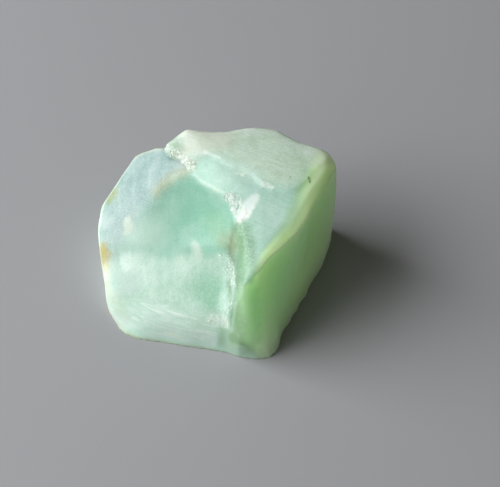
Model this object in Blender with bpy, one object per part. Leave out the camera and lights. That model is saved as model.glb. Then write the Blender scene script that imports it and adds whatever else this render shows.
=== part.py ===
"""A rough lump of common blue opal, broken out of its seam and left uncut: one solid stone about 27 mm long.

Its top is a high plate along the back right, which a sloping face carries down to a sharp ridge. A broken
edge parts them from a hollow, a blue face behind it and a long slab that runs down to the front. Everything
below the rim is a steep broken wall, and the stone rests on a flat patch. Run it with
blender --background --python part.py. Sizes here are in millimetres; the scene is in metres, +Z up.
"""

from math import cos, hypot, pi, sin, sqrt

import bmesh
import bpy
from mathutils import Vector, noise

MM = 0.001

# Faces of the top, each as its height above the middle of the stone and its rise per mm along X and along Y.
PLATE = (15.45, -0.006, 0.010)
SLOPE = (13.80, 0.159, 0.317)
SHOULDER = (13.23, 0.432, 0.420)
BLUE_FACE = (15.32, 0.80, 0.20)
SLAB = (8.2, 0.295, 0.532)

# The hollow that the fracture left: its floor is the underside of this ball.
HOLLOW_CENTRE = (-12.6, -13.2, 23.4)
HOLLOW_RADIUS = 22.4

# Plan lines with the distance over which the height changes from one side to the other.
# The broken edge, from the notch in the back rim to the front: the high faces lie on its left.
BROKEN_EDGE = (
    (-4.6, 12.0, 0.5),
    (-5.2, 9.0, 0.4),
    (-5.6, 8.2, 0.4),
    (-5.2, 7.5, 0.5),
    (-4.1, 6.8, 0.5),
    (-2.9, 5.3, 0.4),
    (-2.5, 4.3, 0.3),
    (-1.5, 3.2, 0.3),
    (-0.4, 2.3, 0.3),
    (1.1, 1.2, 0.4),
    (1.9, -0.3, 0.5),
    (2.1, -2.0, 0.9),
    (2.1, -4.2, 1.6),
    (1.95, -6.5, 2.3),
    (1.6, -12.0, 2.3),
)
# The front lip of the hollow: the slab lies in front of it.
HOLLOW_LIP = (
    (-20.0, 2.0, 3.0),
    (-9.0, -0.4, 2.0),
    (-7.2, -1.2, 1.6),
    (-4.3, -1.4, 1.5),
    (-2.7, -1.3, 1.5),
    (-0.1, -2.4, 1.8),
    (4.0, -4.2, 2.0),
    (20.0, -9.0, 2.0),
)
# The front edge of the plate, which stands a little proud of the sloping face.
PLATE_EDGE = (
    (-8.0, 4.4, 2.5),
    (-3.0, 5.5, 2.0),
    (-1.7, 6.1, 0.8),
    (-0.4, 5.8, 0.3),
    (1.3, 4.7, 0.3),
    (4.0, 3.2, 0.3),
    (5.0, 2.0, 0.3),
    (7.4, 1.0, 0.4),
    (9.0, 1.4, 0.5),
    (11.5, 4.4, 0.6),
    (13.5, 7.0, 0.6),
)
PLATE_STEP = 0.22
FACE_BLEND = 0.5
# How far the fold between the blue face and the hollow is rounded, at its right end and at its left, and
# the X at which each rounding begins.
BLUE_BLEND = (0.9, 3.2)
BLUE_BLEND_FROM, BLUE_BLEND_TO = -5.5, -10.5

# Plan outlines, corner by corner and anticlockwise: the rim of the top, and the foot of the walls.
RIM = (
    (13.1, 4.8),
    (12.8, 5.8),
    (12.1, 6.6),
    (9.1, 7.8),
    (6.7, 9.6),
    (4.1, 9.8),
    (1.3, 9.2),
    (-0.3, 9.1),
    (-3.2, 9.5),
    (-4.3, 9.0),
    (-5.0, 8.6),
    (-5.6, 9.2),
    (-6.9, 9.9),
    (-9.2, 10.2),
    (-11.0, 8.3),
    (-13.1, 6.2),
    (-13.4, 4.0),
    (-13.1, 1.2),
    (-12.9, -0.5),
    (-12.7, -1.7),
    (-12.5, -3.1),
    (-12.2, -3.8),
    (-11.4, -4.3),
    (-10.2, -4.5),
    (-9.1, -4.6),
    (-5.3, -5.8),
    (-2.5, -6.7),
    (0.8, -7.5),
    (2.0, -8.0),
    (3.0, -8.1),
    (4.5, -7.0),
    (5.8, -5.6),
    (7.2, -4.5),
    (8.7, -3.2),
    (9.8, -1.5),
    (11.4, 1.5),
)
FOOT = (
    (13.0, 6.4),
    (11.8, 8.0),
    (7.5, 8.9),
    (2.0, 8.4),
    (-4.0, 9.6),
    (-8.5, 8.8),
    (-12.0, 5.8),
    (-12.8, 1.0),
    (-12.3, -3.6),
    (-11.3, -7.0),
    (-10.8, -7.7),
    (-9.3, -8.3),
    (-5.4, -8.9),
    (-1.7, -9.4),
    (1.2, -10.1),
    (2.5, -10.5),
    (4.4, -10.8),
    (5.9, -10.6),
    (6.6, -9.9),
    (7.0, -9.1),
    (7.1, -7.9),
    (7.5, -6.9),
    (8.2, -6.1),
    (8.5, -5.1),
    (9.0, -4.5),
    (9.4, -3.3),
    (10.0, -2.6),
    (10.4, -1.3),
    (11.4, 0.7),
    (12.0, 1.8),
    (12.4, 3.3),
    (12.8, 4.4),
)
MIDDLE = (0.5, 0.5)

# How far the walls stand out at half height, in mm, by compass angle in degrees.
BULGE = (
    (-180, 0.15),
    (-170, 0.1),
    (-157, 0.55),
    (-146, 0.1),
    (-86, 0.1),
    (-79.5, 0.75),
    (-70, 0.5),
    (-60, 0.3),
    (-10, 0.1),
    (10, 0.35),
    (30, 0.8),
    (90, 1.4),
    (110, 1.5),
    (140, 0.6),
    (180, 0.15),
)

# The chamfer along the rim, as width and drop in mm by compass angle: widest along the ridge.
CHAMFER = (
    (-180, 0.5, 0.25),
    (-110, 0.4, 0.15),
    (-75, 0.4, 0.25),
    (-45, 0.5, 0.35),
    (-15, 1.1, 0.6),
    (20, 1.2, 0.7),
    (30, 0.4, 0.3),
    (180, 0.5, 0.25),
)

# Shell-shaped chips that took pieces out of the surface: each a run of balls between two centres, and
# their radius.
CHIPS = (
    ((1.4, 21.6, 9.4), (3.2, 21.2, 8.2), 12.8),
    ((-9.8, 20.2, 1.6), (-8.4, 20.6, 4.0), 11.2),
    ((12.6, 17.2, 4.0), (8.6, 18.4, 0.0), 10.2),
    ((-23.2, 3.0, -1.6), (-22.8, 1.0, -0.6), 10.2),
    ((-19.9, -6.0, 4.5), (-19.9, -6.6, 4.0), 7.6),
    ((1.9, -0.3, 14.6), (2.3, -0.6, 14.5), 1.1),
)
CHIP_WANDER = (0.16, 2.3)

# Heights on the stone's middle line that chips are pushed in towards, and that unevenness stands out from.
CHIP_HEART = 4.0
WAVE_HEART = 5.0

# Unevenness of the whole surface and of the lines that part its faces, as height and length of the waves.
WAVES = ((0.16, 5.0), (0.07, 1.9), (0.035, 0.8))
EDGE_WANDER = (0.22, 1.1)
WANDER_APART = 7.0

SAMPLES_ROUND = 320
UNDERSIDE_RINGS = 11
WALL_RINGS = 40
TOP_RINGS = 80
# Half the samples over which the walls round off the outlines' corners, and how fast they do it away from
# each outline.
CORNER_SOFTENING = 10
CORNER_FADE = 5

# The underside lies this deep below the floor before it is trimmed, drawn in to this share of the foot.
UNDERSIDE_DEPTH = 0.6
UNDERSIDE_SHARE = 0.94
FLOOR_BLOCK = 40.0
VOXEL = 0.2
KEPT_SHARE = 0.1


def spread(table, angle):
    """The values of a table at a compass angle in degrees, straight between its rows."""
    for low, high in zip(table, table[1:]):
        if low[0] <= angle <= high[0]:
            share = (angle - low[0]) / (high[0] - low[0])
            return [a + (b - a) * share for a, b in zip(low[1:], high[1:])]
    return table[-1][1:]


def eased(share):
    share = min(1.0, max(0.0, share))
    return share * share * (3 - 2 * share)


def lower(a, b, blend):
    """The lower of two heights, rounded over where they meet."""
    near = max(0.0, blend - abs(a - b)) / blend
    return min(a, b) - near * near * blend / 4


def reach(outline, angle):
    """How far the outline lies from the stone's middle in one direction."""
    along = (cos(angle), sin(angle))
    far = 0.0
    for start, end in zip(outline, outline[1:] + outline[:1]):
        x, y = start[0] - MIDDLE[0], start[1] - MIDDLE[1]
        run = (end[0] - start[0], end[1] - start[1])
        across = along[0] * run[1] - along[1] * run[0]
        if abs(across) < 1e-9:
            continue
        distance = (x * run[1] - y * run[0]) / across
        place = (x * along[1] - y * along[0]) / across
        if distance > 0 and -1e-9 <= place <= 1 + 1e-9:
            far = max(far, distance)
    return far


def softened(reaches, half):
    count = len(reaches)
    weights = [(k, half + 1 - abs(k)) for k in range(-half, half + 1)]
    total = sum(weight for _, weight in weights)
    return [sum(reaches[(i + k) % count] * weight for k, weight in weights) / total for i in range(count)]


def face_height(face, x, y):
    return face[0] + face[1] * x + face[2] * y


def hollow_height(x, y):
    left = HOLLOW_RADIUS**2 - (x - HOLLOW_CENTRE[0]) ** 2 - (y - HOLLOW_CENTRE[1]) ** 2
    return HOLLOW_CENTRE[2] - sqrt(left) if left > 0 else HOLLOW_CENTRE[2]


def left_of(line, x, y):
    """1 on the left of a plan line and 0 on its right, eased over the line's width there."""
    nearest, side, width = 1e9, -1.0, 1.0
    for (x0, y0, w0), (x1, y1, w1) in zip(line, line[1:]):
        dx, dy = x1 - x0, y1 - y0
        share = min(1.0, max(0.0, ((x - x0) * dx + (y - y0) * dy) / (dx * dx + dy * dy)))
        gap = hypot(x - x0 - share * dx, y - y0 - share * dy)
        if gap < nearest:
            nearest = gap
            side = 1.0 if dx * (y - y0) - dy * (x - x0) > 0 else -1.0
            width = w0 + (w1 - w0) * share
    return eased(0.5 + side * nearest / width)


def top_height(x, y):
    size, length = EDGE_WANDER
    at = Vector((x, y, 0.0)) / length
    wander_x = x + size * noise.noise(at)
    wander_y = y + size * noise.noise(at + Vector((0.0, 0.0, WANDER_APART)))
    slope = lower(face_height(SLOPE, x, y), face_height(SHOULDER, x, y), FACE_BLEND)
    high = lower(face_height(PLATE, x, y), slope, FACE_BLEND)
    high -= PLATE_STEP * (1 - left_of(PLATE_EDGE, wander_x, wander_y))
    behind_lip = left_of(HOLLOW_LIP, wander_x, wander_y)
    low = face_height(SLAB, x, y) * (1 - behind_lip) + hollow_height(x, y) * behind_lip
    leftward = eased((x - BLUE_BLEND_FROM) / (BLUE_BLEND_TO - BLUE_BLEND_FROM))
    blue_blend = BLUE_BLEND[0] + (BLUE_BLEND[1] - BLUE_BLEND[0]) * leftward
    low = lower(low, face_height(BLUE_FACE, x, y), blue_blend)
    share = left_of(BROKEN_EDGE, wander_x, wander_y)
    return min(low, high) * (1 - share) + high * share


def chipped(point):
    """The point moved towards the stone's heart until no chip holds it."""
    heart = Vector((*MIDDLE, CHIP_HEART))
    size, length = CHIP_WANDER
    for first, last, radius in CHIPS:
        start, run = Vector(first), Vector(last) - Vector(first)
        share = min(1.0, max(0.0, (point - start).dot(run) / run.length_squared))
        away = point - (start + run * share)
        limit = radius + size * noise.noise(point / length)
        if away.length < limit:
            inward = (heart - point).normalized()
            along = away.dot(inward)
            point = point + inward * (-along + sqrt(along * along + limit**2 - away.length_squared))
    return point


def uneven(point):
    outward = (point - Vector((*MIDDLE, WAVE_HEART))).normalized()
    return point + outward * sum(size * noise.noise(point / length) for size, length in WAVES)


def rings():
    """Closed loops of points from the middle of the underside, up the walls, to the middle of the top."""
    angles = [2 * pi * i / SAMPLES_ROUND - pi for i in range(SAMPLES_ROUND)]
    foot = [reach(FOOT, a) for a in angles]
    rim = [reach(RIM, a) for a in angles]
    soft_foot = softened(foot, CORNER_SOFTENING)
    soft_rim = softened(rim, CORNER_SOFTENING)
    bulge = [spread(BULGE, a * 180 / pi)[0] for a in angles]
    chamfer = [spread(CHAMFER, a * 180 / pi) for a in angles]
    made = []

    def place(i, distance, height):
        return Vector((MIDDLE[0] + distance * cos(angles[i]), MIDDLE[1] + distance * sin(angles[i]), height))

    def on_top(i, share):
        spot = place(i, rim[i] * share, 0)
        width, drop = chamfer[i]
        edge = max(0.0, 1 - rim[i] * (1 - share) / width)
        spot.z = top_height(spot.x, spot.y) - drop * edge
        return spot

    def on_wall(i, share):
        out = soft_foot[i] + (soft_rim[i] - soft_foot[i]) * share + bulge[i] * 4 * share * (1 - share)
        out += (rim[i] - soft_rim[i]) * share**CORNER_FADE
        out += (foot[i] - soft_foot[i]) * (1 - share) ** CORNER_FADE
        below = -UNDERSIDE_DEPTH / 2
        return place(i, out, below + (on_top(i, 1.0).z - below) * share)

    for ring in range(1, UNDERSIDE_RINGS + 1):
        share = UNDERSIDE_SHARE * ring / (UNDERSIDE_RINGS + 1)
        made.append([place(i, foot[i] * share, -UNDERSIDE_DEPTH) for i in range(SAMPLES_ROUND)])
    for ring in range(WALL_RINGS + 1):
        made.append([on_wall(i, ring / WALL_RINGS) for i in range(SAMPLES_ROUND)])
    for ring in range(TOP_RINGS - 1, 0, -1):
        made.append([on_top(i, ring / TOP_RINGS) for i in range(SAMPLES_ROUND)])
    return made


def stone_mesh():
    bm = bmesh.new()
    loops = [[bm.verts.new(uneven(chipped(point)) * MM) for point in loop] for loop in rings()]
    under = bm.verts.new(Vector((*MIDDLE, -UNDERSIDE_DEPTH)) * MM)
    crown = bm.verts.new(Vector((*MIDDLE, top_height(*MIDDLE))) * MM)
    for below, above in zip(loops, loops[1:]):
        for i in range(SAMPLES_ROUND):
            j = (i + 1) % SAMPLES_ROUND
            bm.faces.new((below[i], below[j], above[j], above[i]))
    for i in range(SAMPLES_ROUND):
        j = (i + 1) % SAMPLES_ROUND
        bm.faces.new((under, loops[0][j], loops[0][i]))
        bm.faces.new((loops[-1][i], loops[-1][j], crown))
    mesh = bpy.data.meshes.new("raw_opal")
    bm.to_mesh(mesh)
    bm.free()
    return mesh


def opal_material():
    material = bpy.data.materials.new("blue_opal")
    material.use_nodes = True
    shader = material.node_tree.nodes["Principled BSDF"]
    shader.inputs["Base Color"].default_value = (0.50, 0.78, 0.66, 1.0)
    shader.inputs["Roughness"].default_value = 0.35
    shader.inputs["Metallic"].default_value = 0.0
    return material


def floor_cutter():
    """A block under the stone, which trims its underside to the flat patch that it rests on."""
    size = FLOOR_BLOCK * MM
    bpy.ops.mesh.primitive_cube_add(size=size, location=(0, 0, -size / 2))
    cutter = bpy.context.object
    cutter.name = "underside_cutter"
    cutter.hide_render = True
    cutter.display_type = "WIRE"
    return cutter


def main():
    for obj in list(bpy.data.objects):
        bpy.data.objects.remove(obj)
    stone = bpy.data.objects.new("raw_opal", stone_mesh())
    bpy.context.scene.collection.objects.link(stone)
    stone.data.materials.append(opal_material())

    even = stone.modifiers.new("even_faces", "REMESH")
    even.mode = "VOXEL"
    even.voxel_size = VOXEL * MM
    fewer = stone.modifiers.new("fewer_faces", "DECIMATE")
    fewer.ratio = KEPT_SHARE
    fewer.use_collapse_triangulate = True
    flat = stone.modifiers.new("flat_underside", "BOOLEAN")
    flat.operation = "DIFFERENCE"
    flat.object = floor_cutter()


main()
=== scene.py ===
from math import cos, pi, radians, sin

import bmesh
import bpy
import numpy as np
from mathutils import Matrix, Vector, noise


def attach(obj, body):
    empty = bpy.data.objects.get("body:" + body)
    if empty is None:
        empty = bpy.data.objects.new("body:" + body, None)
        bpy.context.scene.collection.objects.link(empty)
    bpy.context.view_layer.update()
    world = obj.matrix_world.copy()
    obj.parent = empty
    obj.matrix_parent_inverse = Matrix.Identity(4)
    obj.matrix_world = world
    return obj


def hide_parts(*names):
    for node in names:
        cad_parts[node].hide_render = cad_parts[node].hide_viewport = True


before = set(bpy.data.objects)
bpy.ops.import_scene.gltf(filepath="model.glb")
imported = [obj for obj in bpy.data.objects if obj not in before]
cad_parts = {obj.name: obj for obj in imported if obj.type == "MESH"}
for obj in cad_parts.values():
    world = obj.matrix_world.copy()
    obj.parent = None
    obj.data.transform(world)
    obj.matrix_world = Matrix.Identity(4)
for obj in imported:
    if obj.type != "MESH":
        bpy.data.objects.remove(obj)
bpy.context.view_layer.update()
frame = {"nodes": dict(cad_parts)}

mm = 0.001
print("frame loaded:", ", ".join(frame["nodes"]))


def easeBetween(low, high, value):
    # 0 at low and 1 at high, with soft ends
    share = np.clip((value - low) / (high - low), 0.0, 1.0)
    return share * share * (3 - 2 * share)


def sideOfLine(line, x, y):
    # distance in plan from a line of corners, positive on its left
    nearest = np.full(len(x), 1e9)
    signed = np.zeros(len(x))
    for (x0, y0), (x1, y1) in zip(line, line[1:]):
        dx, dy = x1 - x0, y1 - y0
        share = np.clip(((x - x0) * dx + (y - y0) * dy) / (dx * dx + dy * dy), 0.0, 1.0)
        gap = np.hypot(x - x0 - share * dx, y - y0 - share * dy)
        left = np.where(dx * (y - y0) - dy * (x - x0) > 0, 1.0, -1.0)
        closer = gap < nearest
        signed = np.where(closer, gap * left, signed)
        nearest = np.where(closer, gap, nearest)
    return signed


def distanceToPath(path, points):
    # how far each point is from a path of corners, less the path's own reach there
    nearest = np.full(len(points), 1e9)
    for (*start, startReach), (*end, endReach) in zip(path, path[1:] if len(path) > 1 else path):
        start, run = np.array(start), np.array(end) - np.array(start)
        share = np.clip((points - start) @ run / max(run @ run, 1e-9), 0.0, 1.0)
        reach = startReach + (endReach - startReach) * share
        nearest = np.minimum(nearest, np.linalg.norm(points - start - share[:, None] * run, axis=1) - reach)
    return nearest


def waves(points, length, shift=0.0):
    # soft noise between about -1 and 1, with waves of this length
    return np.array([noise.noise(Vector(p) / length + Vector((shift, 0, 0))) for p in points])


def linear(red, green, blue):
    # a colour as read on a screen, 0 to 255, made linear
    values = np.array((red, green, blue)) / 255
    return np.where(values <= 0.04045, values / 12.92, ((values + 0.055) / 1.055) ** 2.4)


def pointsOf(mesh):
    points = np.empty(len(mesh.vertices) * 3, np.float32)
    mesh.vertices.foreach_get("co", points)
    normals = np.empty(len(mesh.vertices) * 3, np.float32)
    mesh.vertex_normals.foreach_get("vector", normals)
    return points.reshape(-1, 3).astype(float) / mm, normals.reshape(-1, 3).astype(float)


def keepResult(obj):
    # turns the modifiers' result into a plain mesh
    graph = bpy.context.evaluated_depsgraph_get()
    mesh = bpy.data.meshes.new_from_object(obj.evaluated_get(graph), depsgraph=graph)
    obj.modifiers.clear()
    obj.data = mesh


stoneMesh = {
    "cellMm": 0.15,
    "smoothing": 0.5,
    "unshrinking": 0.52,  # a little more than the smoothing takes, so the stone keeps its size
    "smoothingSteps": 12,
    "flatBelowMm": 0.05,
    "weldM": 1e-7,
    # edges that run out softly: the path in mm with its reach, how far round it they are eased, and passes
    "softEdges": (
        (((2.0, -1.8, 13.0, 0.0), (2.3, -4.2, 12.5, 0.5), (2.8, -6.8, 11.4, 0.3)), 0.9, 60),
        (((2.0, -3.0, 8.0, 0.2), (2.0, -5.0, 6.5, 0.6), (1.5, -7.2, 4.8, 0.5)), 1.2, 60),
        (((-12.0, -3.9, 2.4, 0.4), (-9.5, -4.7, 2.2, 0.4), (-7.0, -5.4, 2.6, 0.0)), 1.2, 40),
    ),
}


def neighbourMeans(mesh, values):
    # for each point, the mean of the values at the points joined to it
    ends = np.empty(len(mesh.edges) * 2, np.int32)
    mesh.edges.foreach_get("vertices", ends)
    first, second = ends.reshape(-1, 2).T
    count = np.bincount(ends, minlength=len(values))
    size = len(values)
    return np.column_stack([
        (np.bincount(first, column[second], size) + np.bincount(second, column[first], size)) / count
        for column in values.T
    ])


def fineStone():
    node = frame["nodes"]["raw_opal"]
    form = bmesh.new()
    form.from_mesh(node.data)
    bmesh.ops.remove_doubles(form, verts=form.verts, dist=stoneMesh["weldM"])
    mesh = bpy.data.meshes.new("opalStone")
    form.to_mesh(mesh)
    form.free()
    stone = bpy.data.objects.new("opalStone", mesh)
    bpy.context.scene.collection.objects.link(stone)
    even = stone.modifiers.new("even", "REMESH")
    even.mode = "VOXEL"
    even.voxel_size = stoneMesh["cellMm"] * mm
    keepResult(stone)
    points, _ = pointsOf(stone.data)
    for _ in range(stoneMesh["smoothingSteps"]):
        for amount in (stoneMesh["smoothing"], -stoneMesh["unshrinking"]):
            points += (neighbourMeans(stone.data, points) - points) * amount
    for path, fade, passes in stoneMesh["softEdges"]:
        share = easeBetween(fade, 0.0, distanceToPath(path, points))[:, None]
        for _ in range(passes):
            points += (neighbourMeans(stone.data, points) - points) * share
    points[:, 2] = np.where(points[:, 2] < stoneMesh["flatBelowMm"], 0.0, points[:, 2])
    stone.data.vertices.foreach_set("co", (points * mm).ravel())
    stone.data.shade_smooth()
    print("stone:", len(stone.data.polygons), "faces")
    return stone


stone = fineStone()

faceLines = {
    # where one face gives way to the next: plan lines in mm, the face named first on their left
    "highOverLow": (
        (-4.6, 12.0), (-5.2, 9.0), (-5.6, 8.2), (-5.2, 7.5), (-4.1, 6.8), (-2.9, 5.3), (-2.5, 4.3),
        (-1.5, 3.2), (-0.4, 2.3), (1.1, 1.2), (1.9, -0.3), (2.3, -2.0), (2.6, -4.2), (2.9, -6.5),
        (2.6, -12.0),
    ),
    "plateOverBand": (
        (-8.0, 4.4), (-3.0, 5.5), (-1.7, 6.1), (-0.4, 5.8), (1.3, 4.7), (4.0, 3.2), (5.0, 2.0), (7.4, 1.0),
        (9.0, 1.4), (11.5, 4.4), (13.5, 7.0),
    ),
    "hollowOverSlab": (
        (-20.0, 2.0), (-9.0, -0.4), (-7.2, -1.2), (-4.3, -1.4), (-2.7, -1.3), (-0.1, -2.4), (4.0, -4.2),
        (20.0, -9.0),
    ),
    "blueOverHollow": (
        (-20.0, -4.0), (-11.0, 0.5), (-8.5, 2.9), (-6.8, 3.9), (-5.1, 4.6), (-3.2, 5.0), (2.0, 5.8),
    ),
    "slabOverFront": (
        (-20.0, -3.0), (-11.9, -4.2), (-9.1, -4.6), (-5.3, -5.9), (-2.5, -6.8), (0.8, -7.6), (2.0, -8.0),
        (9.0, -9.5),
    ),
    "ridge": (
        (2.6, -8.2), (4.5, -7.0), (5.8, -5.6), (7.2, -4.5), (8.7, -3.2), (9.8, -1.5), (11.4, 1.5),
        (12.9, 4.8),
    ),
}
facetEdge = {"startMm": -0.2, "leaning": 0.3}  # the facet's left side, which leans right as it rises
# each face fades in between these: mm beyond its line, mm along x or y, or how squarely it faces that way
faceFades = {
    "high": (-0.25, 0.25),
    "plate": (-0.3, 1.5),
    "behindLip": (-0.6, 0.6),
    "behindFold": (-1.6, 1.6),
    "frontOfSlab": (0.35, -0.45),
    "wallFacingUp": (0.62, 0.42),
    "rightFacingRight": (-0.2, 0.3),
    "rightFacingBack": (0.8, 0.5),
    "facetAcross": (-0.3, 0.3),
    "facetFacingFront": (0.45, 0.6),
    "facetFacingUp": (0.66, 0.5),
    "cliffFacingLeft": (0.46, 0.7),
    "cliffFrom": (0.8, 1.7),
    "cliffTo": (4.5, 3.5),
    "cliffBack": (-0.6, -2.0),
    "backFacingBack": (0.35, 0.6),
    "leftFacingLeft": (0.70, 0.85),
    "leftFrom": (-10.0, -11.5),
}
# how the lines between the faces wander: mm to either side, the length of a wave in mm, and its shift
faceWander = {"alongX": (0.22, 1.1, 0.0), "alongY": (0.22, 1.1, 7.0), "lip": (0.5, 1.6, 3.0)}


def fadeIn(name, value):
    return easeBetween(*faceFades[name], value)


def wander(points, size, length, shift):
    return size * waves(points, length, shift)


def faceShares(points, normals):
    # how much of each face there is at each point, from 0 to 1
    x, y, z = points.T
    facingRight, facingBack, facingUp = normals.T
    flat = np.column_stack((x, y, np.zeros(len(x))))
    x = x + wander(flat, *faceWander["alongX"])
    y = y + wander(flat, *faceWander["alongY"])
    high = fadeIn("high", sideOfLine(faceLines["highOverLow"], x, y))
    plate = high * fadeIn("plate", sideOfLine(faceLines["plateOverBand"], x, y))
    lip = sideOfLine(faceLines["hollowOverSlab"], x, y) + wander(points, *faceWander["lip"])
    behindLip = fadeIn("behindLip", lip)
    behindFold = fadeIn("behindFold", sideOfLine(faceLines["blueOverHollow"], x, y))

    right = fadeIn("rightFacingRight", facingRight) * fadeIn("wallFacingUp", facingUp)
    right = right * fadeIn("rightFacingBack", facingBack)
    facet = fadeIn("facetAcross", x - facetEdge["leaning"] * z - facetEdge["startMm"])
    facet = facet * fadeIn("facetFacingFront", -facingBack) * fadeIn("facetFacingUp", facingUp)
    facet *= 1 - right
    cliff = fadeIn("cliffFacingLeft", -facingRight) * fadeIn("cliffFrom", x) * fadeIn("cliffTo", x)
    cliff = cliff * (1 - facet) * fadeIn("cliffBack", y)
    back = fadeIn("backFacingBack", facingBack) * (1 - right)
    left = fadeIn("leftFacingLeft", -facingRight) * fadeIn("leftFrom", x)
    wall = np.clip(right + facet + back + left, 0, 1)
    cliff *= 1 - wall
    frontOfSlab = fadeIn("frontOfSlab", sideOfLine(faceLines["slabOverFront"], x, y))
    front = (1 - wall - cliff) * frontOfSlab * (1 - high)
    top = 1 - wall - cliff - front
    low = top * (1 - high)
    return {
        "plate": top * plate,
        "band": top * (high - plate),
        "blue": low * behindFold,
        "hollow": low * (1 - behindFold) * behindLip,
        "slab": low * (1 - behindFold) * (1 - behindLip),
        "cliff": cliff,
        "front": front,
        "facet": facet,
        "right": right,
        "back": back,
        "left": left * (1 - right) * (1 - back),
    }


def standingOut(mesh, points, normals, steps):
    # how far each point stands out of its surroundings: above 0 along edges, below 0 in folds
    around = points
    for _ in range(steps):
        around = neighbourMeans(mesh, around)
    return ((points - around) * normals).sum(1)


faceLooks = {
    # the clear body's colour, how much white bloom veils it, and how frosted and how fibrous it is; the
    # cliff's tint also carries painted shade and the right wall's a painted glow
    "plate": {"tint": linear(162, 194, 158), "veil": 0.48, "frost": 0.55, "fibre": 0.42},
    "band": {"tint": linear(138, 189, 168), "veil": 0.34, "frost": 0.22, "fibre": 0.20},
    "blue": {"tint": linear(92, 132, 130), "veil": 0.27, "frost": 0.12, "fibre": 0.15},
    "hollow": {"tint": linear(134, 188, 164), "veil": 0.12, "frost": 0.06, "fibre": 0.12},
    "slab": {"tint": linear(144, 190, 164), "veil": 0.42, "frost": 0.40, "fibre": 0.26},
    # painted shade: the cliff faces the window, so its tint is darkened to keep it from looking lit
    "cliff": {"tint": linear(108, 142, 112), "veil": 0.10, "frost": 0.30, "fibre": 0.00},
    "front": {"tint": linear(160, 206, 178), "veil": 0.48, "frost": 0.30, "fibre": 0.85},
    "facet": {"tint": linear(128, 162, 122), "veil": 0.05, "frost": 0.05, "fibre": 0.00},
    # painted light: the right wall's tint is lifted to a near-white green so the wall in shade glows as if
    # light shone through it; partly the stone's own green
    "right": {"tint": linear(210, 255, 192), "veil": 0.00, "frost": 0.00, "fibre": 0.00},
    "back": {"tint": linear(152, 198, 166), "veil": 0.25, "frost": 0.5, "fibre": 0.3},
    "left": {"tint": linear(165, 196, 160), "veil": 0.5, "frost": 0.5, "fibre": 0.2},
}

# broad soft clouds of more or less bloom: centre in mm, reach, and change of veil
clouds = (
    ((-10.5, 1.8, 6.6), 3.2, 0.15),
    ((-8.0, 1.8, 7.5), 3.0, 0.18),
    ((-8.5, -2.2, 4.4), 4.2, 0.20),
    ((-1.8, 2.2, 11.0), 3.4, -0.12),
    ((-1.8, -4.6, 5.4), 3.0, -0.30),
    ((-3.5, -2.6, 6.2), 2.2, 0.12),
    ((-1.4, 7.4, 14.9), 3.0, 0.08),
    ((0.6, 3.6, 14.8), 2.8, 0.08),
    ((6.0, -1.8, 13.6), 3.0, 0.16),
    ((10.0, 4.2, 15.3), 3.5, -0.10),
    ((-7.6, 7.0, 10.8), 3.0, 0.05),
    ((-9.0, -7.6, 0.8), 2.4, -0.10),
    ((-6.9, 0.9, 6.7), 3.4, 0.25),
    ((-9.6, 0.6, 5.8), 2.8, 0.15),
    ((-6.6, 2.8, 8.9), 2.6, 0.12),
    ((-1.9, 5.0, 14.4), 2.2, -0.08),
    ((-3.5, -7.8, 2.2), 4.0, 0.10),
    ((1.6, 7.6, 15.6), 3.5, 0.15),
    ((-0.5, -6.4, 4.6), 1.8, -0.30),
    ((4.0, 5.0, 15.4), 4.5, 0.16),
    ((0.3, -5.0, 6.0), 1.8, -0.30),
    ((-10.8, -4.6, 2.2), 2.2, -0.12),
    ((-5.0, 6.6, 12.9), 3.0, -0.03),
)
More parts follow.
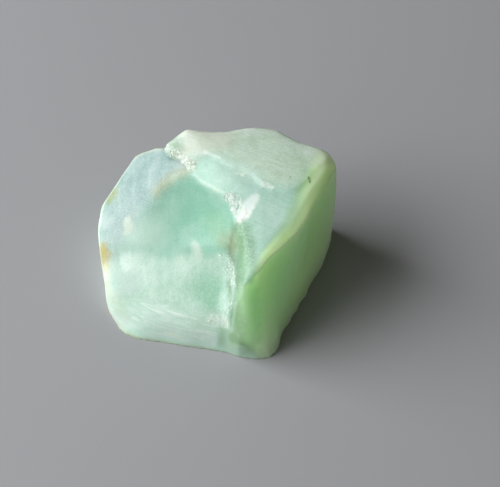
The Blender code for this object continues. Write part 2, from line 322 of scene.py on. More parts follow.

# stains, flakes and chalky patches, and some places, such as facetFoot, where only the body's colour shifts;
# others are painted light and shade: a painted glow on the outer right wall and painted shade on the plate's
# corner and the cliff. Each is a path of places in mm, each with its reach there, and the width of its soft
# edge; crumb is how thickly loose grains lie on it, and ragged how far its edge wanders
marks = {
    "ochreStain": {
        "path": ((-12.7, 0.7, 4.6, 0.2), (-12.6, 0.1, 4.2, 0.35), (-12.4, -0.9, 3.7, 0.1)),
        "edge": 1.1, "colour": linear(168, 148, 58), "strength": 0.85, "ragged": 1.8},
    "ochreTail": {
        "path": ((-12.5, -1.0, 3.6, 0.1), (-12.3, -2.6, 3.0, 0.1), (-12.1, -4.1, 2.4, 0.0)),
        "edge": 0.7, "colour": linear(206, 214, 150), "strength": 0.45},
    "paleSlab": {
        "path": ((-11.1, -1.2, 4.0, 0.6), (-10.3, -3.0, 3.6, 0.8)),
        "edge": 2.0, "colour": linear(196, 208, 206), "strength": 0.5},
    "yellowStain": {
        "path": ((-12.1, 6.3, 6.9, 0.2), (-11.6, 6.6, 7.3, 0.2)),
        "edge": 0.9, "colour": linear(150, 158, 88), "strength": 0.65},
    "tanSmear": {
        "path": ((-3.3, 5.1, 13.6, 0.05), (-4.5, 5.3, 12.8, 0.1), (-5.6, 5.0, 11.7, 0.15),
                 (-6.6, 4.4, 10.6, 0.0)),
        "edge": 1.2, "colour": linear(156, 152, 108), "strength": 0.52, "ragged": 2.4},
    "brownSpot": {
        "path": ((0.9, -1.6, 9.9, 0.3), (1.4, -2.0, 10.0, 0.4), (2.1, -2.5, 11.0, 0.4)),
        "edge": 1.4, "colour": linear(140, 142, 106), "strength": 0.55},
    "notchCrumb": {
        "path": ((-5.7, 8.9, 13.2, 0.3), (-4.6, 7.3, 13.9, 0.35), (-3.9, 6.5, 14.1, 0.2),
                 (-2.7, 5.5, 14.2, 0.35)),
        "edge": 0.5, "colour": linear(184, 196, 176), "strength": 0.75, "crumb": 0.8},
    "edgeChalk": {
        "path": ((-2.9, 5.4, 14.1, 0.1), (-2.3, 4.5, 14.1, 0.0), (-1.5, 3.3, 14.0, 0.06),
                 (0.9, 1.5, 14.1, 0.04)),
        "edge": 0.28, "colour": linear(210, 224, 208), "strength": 0.3, "crumb": 0.2},
    "lowerFlake": {
        "path": ((1.4, 1.3, 14.0, 0.3), (2.1, 0.4, 13.8, 0.65), (2.6, -0.5, 13.6, 0.4),
                 (2.8, -1.2, 13.4, 0.0)),
        "edge": 0.5, "colour": linear(150, 164, 150), "strength": 0.75, "crumb": 0.7, "ragged": 1.8},
    "upperFlake": {
        "path": ((2.6, -1.4, 13.4, 0.1), (3.0, -0.9, 13.7, 0.45), (3.6, 0.0, 14.1, 0.5),
                 (4.1, 0.6, 14.4, 0.25), (4.4, 0.9, 14.5, 0.0)),
        "edge": 0.5, "colour": linear(250, 250, 246), "strength": 1.0, "crumb": 0.10},
    "flakeHaze": {
        "path": ((2.5, 0.3, 14.0, 0.6), (3.3, 0.9, 14.4, 0.8)),
        "edge": 1.6, "colour": linear(196, 220, 214), "strength": 0.55},
    "straySpecks": {
        "path": ((2.8, -2.4, 13.1, 0.3), (3.5, -4.4, 12.6, 0.6), (3.8, -6.0, 12.1, 0.3)),
        "edge": 0.9, "colour": linear(140, 180, 160), "strength": 0.3, "crumb": 0.05},
    "columnCrumb": {
        "path": ((0.3, -2.5, 8.0, 0.1), (1.1, -3.0, 7.9, 0.3), (1.4, -3.9, 7.7, 0.7), (1.8, -5.8, 8.3, 0.8)),
        "edge": 0.7, "colour": linear(190, 212, 198), "strength": 0.5, "crumb": 0.28, "ragged": 2.2},
    "columnFoot": {
        "path": ((1.9, -7.4, 8.2, 0.5), (1.2, -7.6, 5.4, 0.3), (0.4, -7.6, 3.6, 0.2)),
        "edge": 0.7, "colour": linear(170, 200, 186), "strength": 0.2, "crumb": 0.17, "ragged": 2.2},
    "ovalSpot": {
        "path": ((-2.3, -1.0, 7.8, 0.3), (-2.1, -1.6, 7.3, 0.35)),
        "edge": 0.6, "colour": linear(206, 216, 204), "strength": 0.65, "crumb": 0.12},
    "squareSpot": {
        "path": ((-9.9, 3.0, 7.4, 0.3), (-9.9, 1.8, 6.6, 0.35)),
        "edge": 0.4, "colour": linear(222, 226, 210), "strength": 0.55, "crumb": 0.05, "ragged": 1.8},
    "whiteSpot": {
        "path": ((-12.6, 4.2, 6.1, 0.3), (-12.3, 3.4, 6.1, 0.3)),
        "edge": 0.9, "colour": linear(220, 232, 224), "strength": 0.2, "ragged": 2.0},
    "slabSpot": {
        "path": ((-10.2, -0.7, 4.8, 0.3), (-9.8, -1.3, 4.6, 0.3)),
        "edge": 0.9, "colour": linear(222, 236, 230), "strength": 0.45, "crumb": 0.15, "ragged": 2.5},
    "crestDash": {
        "path": ((-1.2, 6.4, 15.2, 0.08), (-0.4, 6.0, 15.2, 0.1), (0.3, 5.6, 15.3, 0.0)),
        "edge": 0.25, "colour": linear(226, 240, 232), "strength": 0.8},
    "crestChip": {
        "path": ((2.3, 3.7, 15.1, 0.12), (2.9, 3.3, 15.1, 0.05)),
        "edge": 0.25, "colour": linear(226, 238, 226), "strength": 0.8, "crumb": 0.5},
    "crestFlake": {
        "path": ((4.9, 2.3, 15.2, 0.1), (5.4, 1.9, 15.1, 0.16), (6.4, 1.5, 15.2, 0.08)),
        "edge": 0.25, "colour": linear(220, 236, 224), "strength": 0.65, "crumb": 0.35},
    "frontDashLeft": {
        "path": ((-9.3, -6.2, 1.5, 0.0), (-8.0, -6.8, 1.3, 0.12), (-6.5, -7.4, 1.2, 0.0)),
        "edge": 0.25, "colour": linear(228, 240, 226), "strength": 0.7},
    "frontDashMiddle": {
        "path": ((-5.8, -7.8, 0.9, 0.1), (-4.6, -8.1, 0.9, 0.2), (-3.5, -8.4, 0.8, 0.0)),
        "edge": 0.3, "colour": linear(222, 238, 216), "strength": 0.6},
    "frontDashRight": {
        "path": ((-2.9, -7.8, 2.0, 0.0), (-1.3, -8.2, 1.9, 0.12), (0.2, -8.6, 1.9, 0.0)),
        "edge": 0.28, "colour": linear(226, 240, 228), "strength": 0.65},
    "creamCorner": {
        "path": ((-3.4, 7.4, 14.7, 0.6), (-1.8, 8.0, 15.4, 1.0), (0.6, 7.8, 15.6, 0.4)),
        "edge": 2.2, "colour": linear(216, 212, 204), "strength": 0.6},
    # painted shade: the plate's corner faces the window, so it is darkened to keep it from looking lit
    "plateCornerPaintedShade": {
        "path": ((-4.7, 7.8, 14.3, 0.4),),
        "edge": 1.8, "colour": linear(128, 156, 138), "strength": 0.75},
    "lowBand": {
        "path": ((2.7, -2.6, 13.0, 0.4), (2.8, -4.0, 12.7, 0.7), (2.9, -5.8, 12.0, 0.4)),
        "edge": 1.4, "colour": linear(116, 156, 122), "strength": 0.85},
    "ridgeFoot": {
        "path": ((3.5, -5.4, 12.2, 0.3), (3.3, -6.4, 11.8, 0.4), (3.1, -7.6, 11.1, 0.4)),
        "edge": 1.0, "colour": linear(132, 172, 138), "strength": 0.65},
    # painted glow: a lighter, yellower green over the shaded outer wall, standing in for light passing
    # through
    "outerWallPaintedGlow": {
        "path": ((11.8, 1.7, 12.7, 1.2), (11.2, 0.3, 9.1, 1.5), (10.6, -1.2, 5.0, 1.5),
                 (9.2, -3.4, 3.0, 1.0)),
        "edge": 3.5, "colour": linear(204, 255, 172), "strength": 0.7},
    "wallFoot": {
        "path": ((3.6, -8.2, 9.5, 0.3), (3.9, -9.6, 5.9, 0.4), (3.9, -10.2, 3.4, 0.3)),
        "edge": 1.4, "colour": linear(180, 224, 170), "strength": 0.8},
    "leftCorner": {
        "path": ((-11.7, -4.4, 1.5, 0.8), (-10.9, -6.0, 0.8, 0.5)),
        "edge": 1.5, "colour": linear(198, 208, 190), "strength": 0.5},
    "greenHollow": {
        "path": ((-0.3, -0.1, 10.8, 0.5), (0.6, -1.0, 10.3, 0.4)),
        "edge": 2.0, "colour": linear(150, 194, 154), "strength": 0.35},
    "facetFoot": {
        "path": ((0.7, -8.5, 2.6, 0.4), (0.8, -9.2, 1.5, 0.4), (1.5, -9.7, 1.1, 0.3), (2.7, -10.3, 1.6, 0.4)),
        "edge": 0.8, "colour": linear(166, 198, 174), "strength": 0.75},
    # painted shade: darkens the cliff face, which faces the window
    "cliffPaintedShade": {
        "path": ((2.0, -1.3, 11.8, 0.3), (2.3, -2.8, 12.1, 0.3), (2.5, -4.3, 11.9, 0.2)),
        "edge": 0.9, "colour": linear(112, 146, 102), "strength": 0.5},
    "cornerBloom": {
        "path": ((-0.4, -7.6, 3.3, 0.3), (0.8, -8.0, 3.6, 0.4)),
        "edge": 0.7, "colour": linear(222, 236, 224), "strength": 0.6, "crumb": 0.5},
    "darkSpeck": {
        "path": ((8.0, 2.8, 15.5, 0.04),),
        "edge": 0.12, "colour": linear(110, 130, 100), "strength": 0.8},
    "darkCrack": {
        "path": ((10.0, 2.7, 15.4, 0.04), (10.1, 2.3, 15.2, 0.04)),
        "edge": 0.14, "colour": linear(90, 115, 70), "strength": 0.8},
}
# the rough edge that ragged marks share: mm to either side, the length of a wave in mm, and its shift
raggedness = ((0.16, 0.9, 5.0), (0.14, 0.4, 9.0))
# the yellower bevel along the ridge, which widens to the right; its tip and outer rim are painted lighter,
# as painted light lifting the shade of the rounded ridge; starts, widens and tipFrom are mm along x, and
# wallFade is mm beyond the ridge
bevelLook = {
    "colour": linear(162, 198, 156), "strength": 0.95, "narrowMm": 1.3, "widthMm": 3.0, "core": 0.45,
    "widens": (4.0, 9.0), "starts": (3.0, 6.0), "wallFade": (-1.5, -0.5),
    "tipPaintedLight": linear(222, 248, 200), "tipFrom": (8.0, 10.8),
    "rim": linear(220, 255, 186), "rimMm": 1.4, "rimCoreMm": 0.15,
    "calm": 0.8,  # how far it keeps off the pale tint of the edges
}
# painted glow: the strip round the foot of the front is painted a lighter, greener tint to lift the shade
# there; and the yellowish hem below it
footGlowAndHem = {
    "colour": linear(196, 246, 216), "heightMm": 1.7, "strength": 0.9,
    "clears": 0.7,  # how much of the bloom it takes away
    "hem": linear(190, 206, 130), "hemMm": 0.5, "hemStrength": 0.5,
}
# painted light and shade: edges are painted paler, a glow where thin edges let light through, and folds
# painted darker as shade, by how many mm they stand out or in; no edge shows on the quiet path
paintedEdgeGlowAndFoldShade = {
    "colour": linear(232, 242, 200), "steps": 16, "from": 0.03, "full": 0.12, "strength": 0.42, "folds": 0.05,
    "quiet": ((1.8, -0.9, 13.0, 0.6), (2.3, -4.2, 12.2, 1.2), (2.9, -7.0, 11.0, 1.0), (2.4, -6.6, 9.0, 1.4)),
    "quietFadeMm": 1.5,
}
# the way the grain runs: how much each direction counts along it and across it
grainRun = {
    "plateAlong": (0.9, -0.43), "plateAcross": (0.43, 0.9),  # x, y
    "frontAcross": (0.82, 0.57, 0.1), "frontCurve": 0.0125,  # z, y, x, and x squared
    "restAlong": (0.8, 0.5), "restAcross": 0.4,  # y, z, then x
    "depth": 0.3,
}
bloomColour = linear(226, 239, 231)


def writeAttribute(mesh, name, kind, key, values):
    data = mesh.attributes.new(name, kind, "POINT").data
    data.foreach_set(key, np.ascontiguousarray(values, np.float32).ravel())


def paintStone():
    mesh = stone.data
    points, normals = pointsOf(mesh)
    shares = faceShares(points, normals)
    total = sum(shares.values())
    colour, veil, frost, fibre = (
        sum(share[..., None] * look[key] if key == "tint" else share * look[key]
            for share, look in ((shares[face] / total, faceLooks[face]) for face in shares))
        for key in ("tint", "veil", "frost", "fibre")
    )
    x, y, z = points.T

    def tintTowards(target, share):
        nonlocal colour
        colour = colour + (target - colour) * share[:, None]

    top = sum(shares[face] for face in ("plate", "band", "blue", "hollow", "slab", "front"))
    for centre, reach, change in clouds:
        gap = np.linalg.norm(points - np.array(centre), axis=1)
        veil = veil + change * top * easeBetween(reach, 0.0, gap)

    high = shares["plate"] + shares["band"]
    inward = sideOfLine(faceLines["ridge"], x, y)
    widening = (bevelLook["widthMm"] - bevelLook["narrowMm"]) * easeBetween(*bevelLook["widens"], x)
    width = bevelLook["narrowMm"] + widening
    bevel = high * easeBetween(width, width * bevelLook["core"], inward)
    bevel *= easeBetween(*bevelLook["starts"], x) * bevelLook["strength"]
    tintTowards(bevelLook["colour"], bevel)
    # painted light: a lighter tip and rim lift the shade on the rounded ridge
    tintTowards(bevelLook["tipPaintedLight"], bevel * easeBetween(*bevelLook["tipFrom"], x))
    tintTowards(bevelLook["rim"], bevel * easeBetween(bevelLook["rimMm"], bevelLook["rimCoreMm"], inward))

    lowDown = easeBetween(footGlowAndHem["heightMm"], 0.0, z)
    # painted glow lifting the shade at the foot of the front and the facet
    paintedFootGlow = (shares["front"] + shares["facet"]) * lowDown * footGlowAndHem["strength"]
    tintTowards(footGlowAndHem["colour"], paintedFootGlow)
    hem = shares["front"] * easeBetween(footGlowAndHem["hemMm"], 0.0, z) * footGlowAndHem["hemStrength"]
    tintTowards(footGlowAndHem["hem"], hem)
    frost = frost * (1 - bevel)
    veil = veil * (1 - bevel) * (1 - footGlowAndHem["clears"] * paintedFootGlow)

    out = standingOut(mesh, points, normals, paintedEdgeGlowAndFoldShade["steps"])
    edge = easeBetween(paintedEdgeGlowAndFoldShade["from"], paintedEdgeGlowAndFoldShade["full"], out) * paintedEdgeGlowAndFoldShade["strength"]
    edge *= easeBetween(0.0, paintedEdgeGlowAndFoldShade["quietFadeMm"], distanceToPath(paintedEdgeGlowAndFoldShade["quiet"], points))
    # painted glow on the edges, then painted shade in the folds
    tintTowards(paintedEdgeGlowAndFoldShade["colour"], edge * (1 - bevelLook["calm"] * bevel))
    paintedFoldShade = easeBetween(-paintedEdgeGlowAndFoldShade["from"], -paintedEdgeGlowAndFoldShade["full"], out)
    colour = colour * (1 - paintedEdgeGlowAndFoldShade["folds"] * paintedFoldShade)[:, None]

    crumb = np.zeros(len(points))
    marked = np.zeros(len(points))
    ragged = sum(wander(points, *wave) for wave in raggedness)
    for mark in marks.values():
        gap = distanceToPath(mark["path"], points) + ragged * mark.get("ragged", 1.0)
        share = easeBetween(mark["edge"], 0.0, gap)
        tintTowards(mark["colour"], share * mark["strength"])
        marked = np.maximum(marked, share * mark["strength"])
        crumb = np.maximum(crumb, share * mark.get("crumb", 0.0))
    veil = np.clip(veil * (1 - marked), 0, 1)

    # the grain runs along the plate, in curved fibres across the front, and uphill in between
    front = shares["front"]
    rest = np.clip(1 - front - high, 0, 1)
    alongX, alongY = grainRun["plateAlong"]
    acrossX, acrossY = grainRun["plateAcross"]
    restY, restZ = grainRun["restAlong"]
    frontZ, frontY, frontX = grainRun["frontAcross"]
    arc = frontZ * z + frontY * y + frontX * x - grainRun["frontCurve"] * x * x
    along = front * x + high * (alongX * x + alongY * y) + rest * (restY * y + restZ * z)
    across = front * arc + high * (acrossX * x + acrossY * y) + rest * grainRun["restAcross"] * x
    grain = np.column_stack((along, across, grainRun["depth"] * z))
    writeAttribute(mesh, "grainAxis", "FLOAT_VECTOR", "vector", grain)
    tint = np.column_stack((np.clip(colour, 0, 1), np.ones(len(points))))
    writeAttribute(mesh, "opalTint", "FLOAT_COLOR", "color", tint)

    # thin rims and the foot, apart from the ridge, which has the whole stone behind it
    ridge = np.clip(bevel + shares["right"] * easeBetween(*bevelLook["wallFade"], inward), 0, 1)
    thin = np.clip(edge * (1 - ridge) / paintedEdgeGlowAndFoldShade["strength"] + lowDown, 0, 1)
    numbers = {"veil": veil, "frost": frost, "fibre": fibre, "crumb": crumb, "thin": thin}
    for name, values in numbers.items():
        writeAttribute(mesh, name, "FLOAT", "value", values)
    print("painted:", len(marks), "marks")


paintStone()

# the patterns in the stone: size in mm, detail and roughness
patterns = {
    "cloud": (2.2, 3.0, 0.55),
    "wisp": (0.7, 3.0, 0.6),
    "grain": (0.28, 2.0, 0.6),
    "dust": (0.14, 1.0, 0.5),
}
fibres = {"perMm": (0.4, 4.2, 1.5), "detail": 3.0, "roughness": 0.6}  # per mm along, across, and in depth
opalLook = {
    # how strongly each pattern adds bloom, and where on a pattern's scale the glints and crumbs show
    "clouds": 0.4,
    "dust": 0.35,
    "wisps": 0.7,
    "grain": 0.9,
    "streaks": 1.3,
    "glints": 0.18,
    "glintsShow": (0.6, 0.72),
    "crumbsShow": (0.45, 0.6),
    "smoothRoughness": 0.3,
    "frostRoughness": 0.6,
    "grainRoughness": 0.12,
    "bumpMm": 0.03,
    "bumpStrength": 0.6,
    "streakBump": 1.2,
    "scatterShare": 0.8,
    "thinScatterShare": 0.4,
    "scatterDepthMm": 5.0,
    "scatterTint": (0.9, 1.0, 0.8),
    "ior": 1.45,
}
crumbLook = {
    "shade": linear(200, 210, 194), "light": linear(234, 238, 226), "from": 0.35, "full": 0.6, "patchMm": 0.5,
    "roughness": 0.55,
}


def mathNode(tree, operation, first, second=0.0, third=None, clamp=False):
    node = tree.nodes.new("ShaderNodeMath")
    node.operation = operation
    node.use_clamp = clamp
    for socket, value in zip(node.inputs, (first, second, third)):
        if value is None:
            continue
        if isinstance(value, (int, float)):
            socket.default_value = value
        else:
            tree.links.new(value, socket)
    return node.outputs[0]


def noiseNode(tree, vector, scale, detail=2.0, roughness=0.5):
    node = tree.nodes.new("ShaderNodeTexNoise")
    if isinstance(scale, (int, float)):
        node.inputs["Scale"].default_value = scale
    else:
        tree.links.new(scale, node.inputs["Scale"])
    node.inputs["Detail"].default_value = detail
    node.inputs["Roughness"].default_value = roughness
    tree.links.new(vector, node.inputs["Vector"])
    return node.outputs["Fac"]


def between(tree, value, low, high):
    # 0 below low and 1 above high
    node = tree.nodes.new("ShaderNodeMapRange")
    node.interpolation_type = "SMOOTHSTEP"
    node.inputs["From Min"].default_value = low
    node.inputs["From Max"].default_value = high
    tree.links.new(value, node.inputs["Value"])
    return node.outputs["Result"]


def attributeNode(tree, name, output="Fac"):
    node = tree.nodes.new("ShaderNodeAttribute")
    node.attribute_name = name
    return node.outputs[output]


def pattern(tree, place, name):
    size, detail, roughness = patterns[name]
    return noiseNode(tree, place, 1 / (size * mm), detail, roughness)


def aroundZero(tree, value, strength):
    # a noise's swing about its middle, times how much of it there is
    return mathNode(tree, "MULTIPLY", mathNode(tree, "SUBTRACT", value, 0.5), strength)


def fibreNoise(tree, axis):
    stretch = tree.nodes.new("ShaderNodeVectorMath")
    stretch.operation = "MULTIPLY"
    tree.links.new(axis, stretch.inputs[0])
    stretch.inputs[1].default_value = fibres["perMm"]
    return noiseNode(tree, stretch.outputs["Vector"], 1.0, fibres["detail"], fibres["roughness"])


def opalFinish(name):
    material = bpy.data.materials.new(name)
    material.use_nodes = True
    tree = material.node_tree
    shader = tree.nodes["Principled BSDF"]
    place = tree.nodes.new("ShaderNodeTexCoord").outputs["Object"]
    frost, fibre, crumb = (attributeNode(tree, each) for each in ("frost", "fibre", "crumb"))

    cloud, wisp, grain, dust = (pattern(tree, place, each) for each in ("cloud", "wisp", "grain", "dust"))
    streak = fibreNoise(tree, attributeNode(tree, "grainAxis", "Vector"))

    # bloom: clouds and fine dust all over, wisps and grain where it is frosted, streaks where it is fibrous
    wispPart = aroundZero(tree, wisp, frost)
    grainPart = aroundZero(tree, grain, frost)
    streakPart = aroundZero(tree, streak, fibre)
    # painted glints: white bloom added to the base colour where the fibre streaks peak
    glintPart = mathNode(tree, "MULTIPLY", between(tree, streak, *opalLook["glintsShow"]), fibre)
    crumbPart = mathNode(tree, "MULTIPLY", between(tree, grain, *opalLook["crumbsShow"]), crumb)
    bloom = mathNode(tree, "MULTIPLY_ADD", cloud, opalLook["clouds"], -opalLook["clouds"] / 2)
    bloom = mathNode(tree, "ADD", attributeNode(tree, "veil"), bloom)
    dustPart = mathNode(tree, "SUBTRACT", dust, 0.5)
    parts = {
        "dust": dustPart, "wisps": wispPart, "grain": grainPart, "streaks": streakPart, "glints": glintPart,
    }
    for each, part in parts.items():
        bloom = mathNode(tree, "MULTIPLY_ADD", part, opalLook[each], bloom)
    bloom = mathNode(tree, "ADD", bloom, crumbPart, clamp=True)
    mix = tree.nodes.new("ShaderNodeMix")
    mix.data_type = "RGBA"
    tree.links.new(bloom, mix.inputs["Factor"])
    colourIn = [socket for socket in mix.inputs if socket.type == "RGBA"]
    tree.links.new(attributeNode(tree, "opalTint", "Color"), colourIn[0])
    colourIn[1].default_value = (*bloomColour, 1.0)
    mixed = next(socket for socket in mix.outputs if socket.type == "RGBA")
    tree.links.new(mixed, shader.inputs["Base Color"])

    spread = opalLook["frostRoughness"] - opalLook["smoothRoughness"]
    rough = mathNode(tree, "MULTIPLY_ADD", frost, spread, opalLook["smoothRoughness"])
    rough = mathNode(tree, "MULTIPLY_ADD", grain, opalLook["grainRoughness"], rough)
    tree.links.new(rough, shader.inputs["Roughness"])

    height = mathNode(tree, "MULTIPLY_ADD", streakPart, opalLook["streakBump"], grainPart)
    height = mathNode(tree, "ADD", crumbPart, height)
    bump = tree.nodes.new("ShaderNodeBump")
    bump.inputs["Strength"].default_value = opalLook["bumpStrength"]
    bump.inputs["Distance"].default_value = opalLook["bumpMm"] * mm
    tree.links.new(height, bump.inputs["Height"])
    tree.links.new(bump.outputs["Normal"], shader.inputs["Normal"])

    # light would leak away through the thin rims, so they scatter less
    lost = opalLook["thinScatterShare"] - opalLook["scatterShare"]
    thin = attributeNode(tree, "thin")
    scatter = mathNode(tree, "MULTIPLY_ADD", thin, lost, opalLook["scatterShare"], clamp=True)
    tree.links.new(scatter, shader.inputs["Subsurface Weight"])
    shader.inputs["Subsurface Radius"].default_value = opalLook["scatterTint"]
    shader.inputs["Subsurface Scale"].default_value = opalLook["scatterDepthMm"] * mm
    shader.inputs["IOR"].default_value = opalLook["ior"]
    return material


def crumbFinish(name):
    material = bpy.data.materials.new(name)
    material.use_nodes = True
    tree = material.node_tree
    shader = tree.nodes["Principled BSDF"]
    place = tree.nodes.new("ShaderNodeTexCoord").outputs["Object"]
    ramp = tree.nodes.new("ShaderNodeValToRGB")
    for element, position, colour in zip(ramp.color_ramp.elements, ("from", "full"), ("shade", "light")):
        element.position = crumbLook[position]
        element.color = (*crumbLook[colour], 1.0)
    tree.links.new(noiseNode(tree, place, 1 / (crumbLook["patchMm"] * mm)), ramp.inputs["Fac"])
    tree.links.new(ramp.outputs["Color"], shader.inputs["Base Color"])
    shader.inputs["Roughness"].default_value = crumbLook["roughness"]
    return material


# the relief and the crumbs are grown by node trees, with these as the trees' inputs
reliefSettings = {
    "Grain Length": patterns["grain"][0] * mm,
    "Grain Height": 0.05 * mm,
    "Fibre Height": 0.05 * mm,
    "Crumb Height": 0.10 * mm,
}
reliefFade = (0.05 * mm, 0.4 * mm)  # above the floor: none up to the first height, all of it from the second
crumbSettings = {"Grains Per Square Metre": 2.0e7, "Smallest": 0.04 * mm, "Largest": 0.12 * mm, "Seed": 11}
crumbShape = {
    "least": (0.8, 0.7, 0.3),
    "most": (1.5, 1.2, 0.5),
    "tilt": 0.35,
    "packed": (0.05, 0.4),  # grains thin out where crumb is below the second, and stop at the first
}


def newTree(name, numbers):
    tree = bpy.data.node_groups.new(name, "GeometryNodeTree")
    face = tree.interface
    face.new_socket(name="Geometry", in_out="INPUT", socket_type="NodeSocketGeometry")
    for each, value in numbers.items():
        kind = "NodeSocketInt" if isinstance(value, int) else "NodeSocketFloat"
        face.new_socket(name=each, in_out="INPUT", socket_type=kind)
    face.new_socket(name="Finish", in_out="INPUT", socket_type="NodeSocketMaterial")
    face.new_socket(name="Geometry", in_out="OUTPUT", socket_type="NodeSocketGeometry")
    return tree, tree.nodes.new("NodeGroupInput").outputs, tree.nodes.new("NodeGroupOutput").inputs


def fieldNode(tree, name, kind="FLOAT"):
    node = tree.nodes.new("GeometryNodeInputNamedAttribute")
    node.data_type = kind
    node.inputs["Name"].default_value = name
    return node.outputs["Attribute"]


def finishTree(tree, geometry, finish, out):
    real = tree.nodes.new("GeometryNodeRealizeInstances")
    tree.links.new(geometry, real.inputs["Geometry"])
    coat = tree.nodes.new("GeometryNodeSetMaterial")
    tree.links.new(real.outputs["Geometry"], coat.inputs["Geometry"])
    tree.links.new(finish, coat.inputs["Material"])
    tree.links.new(coat.outputs["Geometry"], out["Geometry"])


def runTree(obj, tree, numbers, finish):
    grown = obj.modifiers.new(tree.name, "NODES")
    grown.node_group = tree
    for socket in tree.interface.items_tree:
        if socket.in_out == "INPUT" and socket.name in numbers:
            grown[socket.identifier] = numbers[socket.name]
        elif socket.in_out == "INPUT" and socket.name == "Finish":
            grown[socket.identifier] = finish
    keepResult(obj)


def reliefTree():
    tree, given, out = newTree("surfaceRelief", reliefSettings)
    place = tree.nodes.new("GeometryNodeInputPosition").outputs["Position"]
    _, detail, roughness = patterns["grain"]
    grain = noiseNode(tree, place, mathNode(tree, "DIVIDE", 1.0, given["Grain Length"]), detail, roughness)
    streak = fibreNoise(tree, fieldNode(tree, "grainAxis", "FLOAT_VECTOR"))
    grainPart = aroundZero(tree, grain, fieldNode(tree, "frost"))
    streakPart = aroundZero(tree, streak, fieldNode(tree, "fibre"))
    crumbPart = between(tree, grain, *opalLook["crumbsShow"])
    crumbPart = mathNode(tree, "MULTIPLY", crumbPart, fieldNode(tree, "crumb"))
    height = mathNode(tree, "MULTIPLY", grainPart, given["Grain Height"])
    height = mathNode(tree, "MULTIPLY_ADD", streakPart, given["Fibre Height"], height)
    height = mathNode(tree, "MULTIPLY_ADD", crumbPart, given["Crumb Height"], height)
    apart = tree.nodes.new("ShaderNodeSeparateXYZ")
    tree.links.new(place, apart.inputs[0])
    height = mathNode(tree, "MULTIPLY", height, between(tree, apart.outputs["Z"], *reliefFade))
    push = tree.nodes.new("ShaderNodeVectorMath")
    push.operation = "SCALE"
    tree.links.new(tree.nodes.new("GeometryNodeInputNormal").outputs["Normal"], push.inputs[0])
    tree.links.new(height, push.inputs["Scale"])
    moved = tree.nodes.new("GeometryNodeSetPosition")
    tree.links.new(given["Geometry"], moved.inputs["Geometry"])
    tree.links.new(push.outputs["Vector"], moved.inputs["Offset"])
    finishTree(tree, moved.outputs["Geometry"], given["Finish"], out)
    return tree


def randomNode(tree, kind, low, high, seed):
    node = tree.nodes.new("FunctionNodeRandomValue")
    node.data_type = kind
    ends = [socket for socket in node.inputs if socket.enabled and socket.name in ("Min", "Max")]
    for socket, value in zip(ends, (low, high)):
        if isinstance(value, bpy.types.NodeSocket):
            tree.links.new(value, socket)
        else:
            socket.default_value = value
    tree.links.new(seed, node.inputs["Seed"])
    return next(socket for socket in node.outputs if socket.enabled)


def crumbTree():
    tree, given, out = newTree("crumbScatter", crumbSettings)
    spread = tree.nodes.new("GeometryNodeDistributePointsOnFaces")
    tree.links.new(given["Geometry"], spread.inputs["Mesh"])
    crumb = fieldNode(tree, "crumb")
    packed = mathNode(tree, "MULTIPLY", crumb, between(tree, crumb, *crumbShape["packed"]))
    density = mathNode(tree, "MULTIPLY", packed, given["Grains Per Square Metre"])
    tree.links.new(density, spread.inputs["Density"])
    tree.links.new(given["Seed"], spread.inputs["Seed"])
    grain = tree.nodes.new("GeometryNodeMeshIcoSphere")
    grain.inputs["Radius"].default_value = 1.0
    grain.inputs["Subdivisions"].default_value = 1
    size = randomNode(tree, "FLOAT", given["Smallest"], given["Largest"], given["Seed"])
    squash = randomNode(tree, "FLOAT_VECTOR", crumbShape["least"], crumbShape["most"], given["Seed"])
    scale = tree.nodes.new("ShaderNodeVectorMath")
    scale.operation = "SCALE"
    tree.links.new(squash, scale.inputs[0])
    tree.links.new(size, scale.inputs["Scale"])
    strewn = tree.nodes.new("GeometryNodeInstanceOnPoints")
    tree.links.new(spread.outputs["Points"], strewn.inputs["Points"])
    tree.links.new(grain.outputs["Mesh"], strewn.inputs["Instance"])
    turn = tree.nodes.new("FunctionNodeRotateRotation")
    turn.rotation_space = "LOCAL"
    tree.links.new(spread.outputs["Rotation"], turn.inputs["Rotation"])
    most = crumbShape["tilt"]
    tilt = randomNode(tree, "FLOAT_VECTOR", (-most, -most, 0.0), (most, most, 2 * pi), given["Seed"])
    tree.links.new(tilt, turn.inputs["Rotate By"])
    tree.links.new(turn.outputs["Rotation"], strewn.inputs["Rotation"])
    tree.links.new(scale.outputs["Vector"], strewn.inputs["Scale"])
    finishTree(tree, strewn.outputs["Instances"], given["Finish"], out)
    return tree


runTree(stone, reliefTree(), reliefSettings, opalFinish("milkyOpal"))
stone.data.shade_smooth()
print("relief grown:", len(stone.data.polygons), "faces")
crumbs = bpy.data.objects.new("whiteCrumbs", stone.data.copy())
bpy.context.scene.collection.objects.link(crumbs)
runTree(crumbs, crumbTree(), crumbSettings, crumbFinish("chalkyCrumb"))
print("crumbs:", len(crumbs.data.polygons), "faces")

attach(stone, "root")
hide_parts("raw_opal")
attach(crumbs, "root")

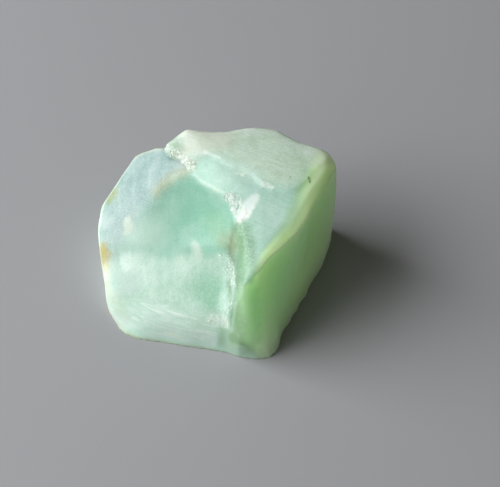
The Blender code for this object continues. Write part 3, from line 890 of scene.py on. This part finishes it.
studio = {
    # sizes and distances in metres, apart from those in mm and the lens's focal length
    "floorSize": 1.2,
    "floorColour": linear(160, 160, 163),
    "floorRoughness": 0.7,
    "windowFrom": (-0.70, 0.05, 0.49),
    "windowDistance": 0.5,
    "windowSize": 0.46,
    "windowWatts": 4.15,
    "windowColour": (0.97, 0.985, 1.0),
    "cardFrom": (-0.75, -0.55, 0.35),
    "cardDistance": 0.5,
    "cardSize": 0.4,
    "cardWatts": 0.62,
    "cardColour": (0.95, 1.0, 0.98),
    "bounceFrom": (0.9, -0.3, 0.14),
    "bounceDistance": 0.4,
    "bounceSize": 0.3,
    "bounceWatts": 0.18,
    "bounceColour": (0.92, 1.0, 0.88),
    "roomLevel": 0.062,
    "roomColour": (1.0, 0.92, 0.8),
    "lookAtMm": (3.7, 4.9, 0.0),
    "cameraMm": 183.0,
    "cameraElevation": 55.0,  # degrees that it looks down
    "lens": 113.6,
    "nearestSeen": 0.01,
}


def softLight(name):
    light = bpy.data.lights.new(name, "AREA")
    light.size = studio[name + "Size"]
    light.energy = studio[name + "Watts"]
    light.color = studio[name + "Colour"]
    lamp = bpy.data.objects.new(name, light)
    towards = Vector(studio[name + "From"]).normalized()
    lamp.location = towards * studio[name + "Distance"]
    lamp.rotation_euler = (-towards).to_track_quat("-Z", "Y").to_euler()
    bpy.context.scene.collection.objects.link(lamp)


def makeStudio():
    floorMesh = bpy.data.meshes.new("floor")
    half = studio["floorSize"] / 2
    corners = [(-half, -half, 0), (half, -half, 0), (half, half, 0), (-half, half, 0)]
    floorMesh.from_pydata(corners, [], [(0, 1, 2, 3)])
    floor = bpy.data.objects.new("floor", floorMesh)
    bpy.context.scene.collection.objects.link(floor)
    finish = bpy.data.materials.new("paleFloor")
    finish.use_nodes = True
    shader = finish.node_tree.nodes["Principled BSDF"]
    shader.inputs["Base Color"].default_value = (*studio["floorColour"], 1.0)
    shader.inputs["Roughness"].default_value = studio["floorRoughness"]
    floorMesh.materials.append(finish)

    for name in ("window", "card", "bounce"):
        softLight(name)
    world = bpy.data.worlds.new("softRoom")
    world.use_nodes = True
    sky = world.node_tree.nodes["Background"]
    sky.inputs["Color"].default_value = (*studio["roomColour"], 1.0)
    sky.inputs["Strength"].default_value = studio["roomLevel"]
    bpy.context.scene.world = world
    bpy.context.scene.view_settings.view_transform = "Standard"


def makeCamera():
    rise = radians(studio["cameraElevation"])
    forward = Vector((0.0, cos(rise), -sin(rise)))
    lens = bpy.data.cameras.new("camera")
    lens.lens = studio["lens"]
    lens.clip_start = studio["nearestSeen"]
    camera = bpy.data.objects.new("camera", lens)
    camera.location = (Vector(studio["lookAtMm"]) - forward * studio["cameraMm"]) * mm
    camera.rotation_euler = forward.to_track_quat("-Z", "Y").to_euler()
    bpy.context.scene.collection.objects.link(camera)
    bpy.context.scene.camera = camera


makeStudio()
makeCamera()
print("studio ready")
